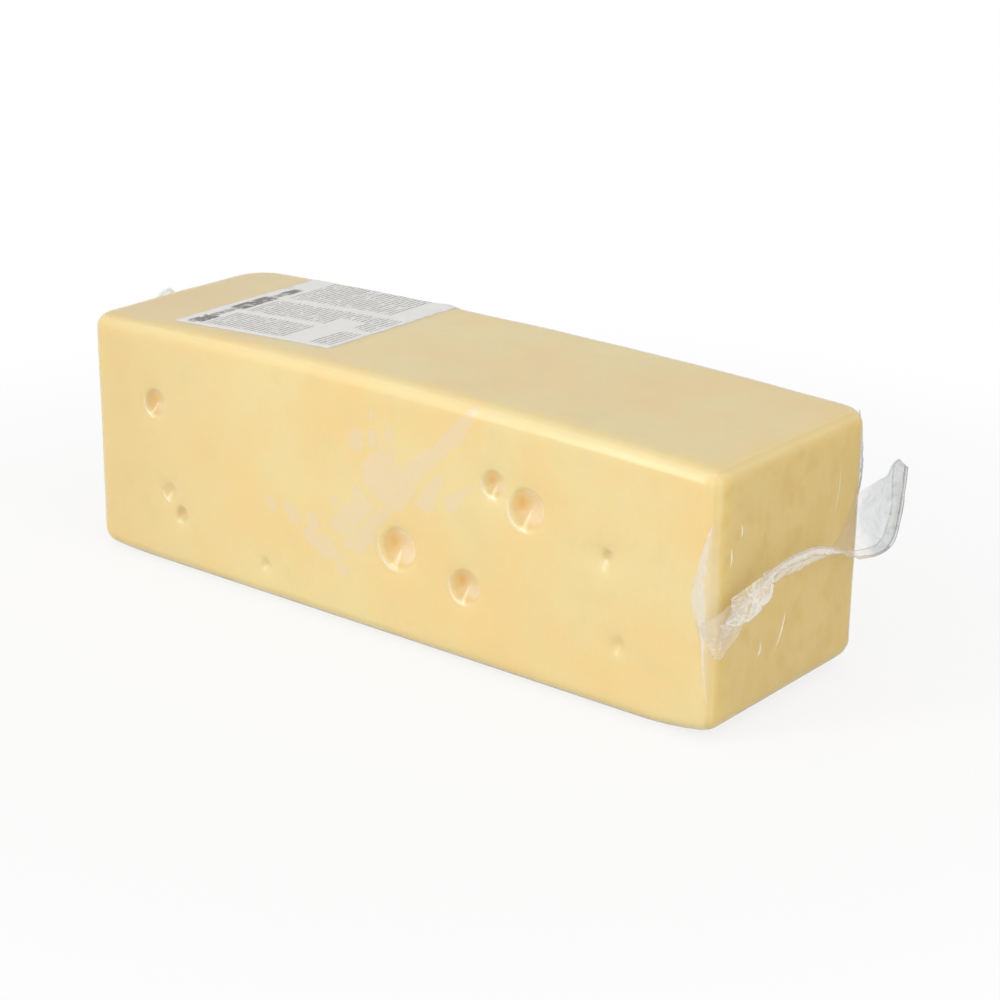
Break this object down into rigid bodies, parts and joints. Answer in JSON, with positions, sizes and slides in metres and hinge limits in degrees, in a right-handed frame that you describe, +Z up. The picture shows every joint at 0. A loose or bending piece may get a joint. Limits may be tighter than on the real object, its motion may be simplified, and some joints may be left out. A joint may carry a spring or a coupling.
{
  "type": "emmental cheese block",
  "caption": "Loaf-shaped block of holey hard cheese, shrink-wrapped in clear vacuum film with wavy welded end seals and a paper label on top.",
  "frame": {"origin": "middle of the flat base that the block lies on", "axes": "+X along the block to the end with the flared seal, +Y towards the back, away from the side shown, +Z up"},
  "size_m": [0.3169, 0.1035, 0.1006],
  "materials": {
    "cheese": "satin",
    "film": "gloss",
    "label_paper": "matte"
  },
  "bodies": {
    "root": {"cheese_block": "cheese", "end_seal_right": "film", "end_seal_left": "film", "label": "label_paper"}
  },
  "joints": []
}
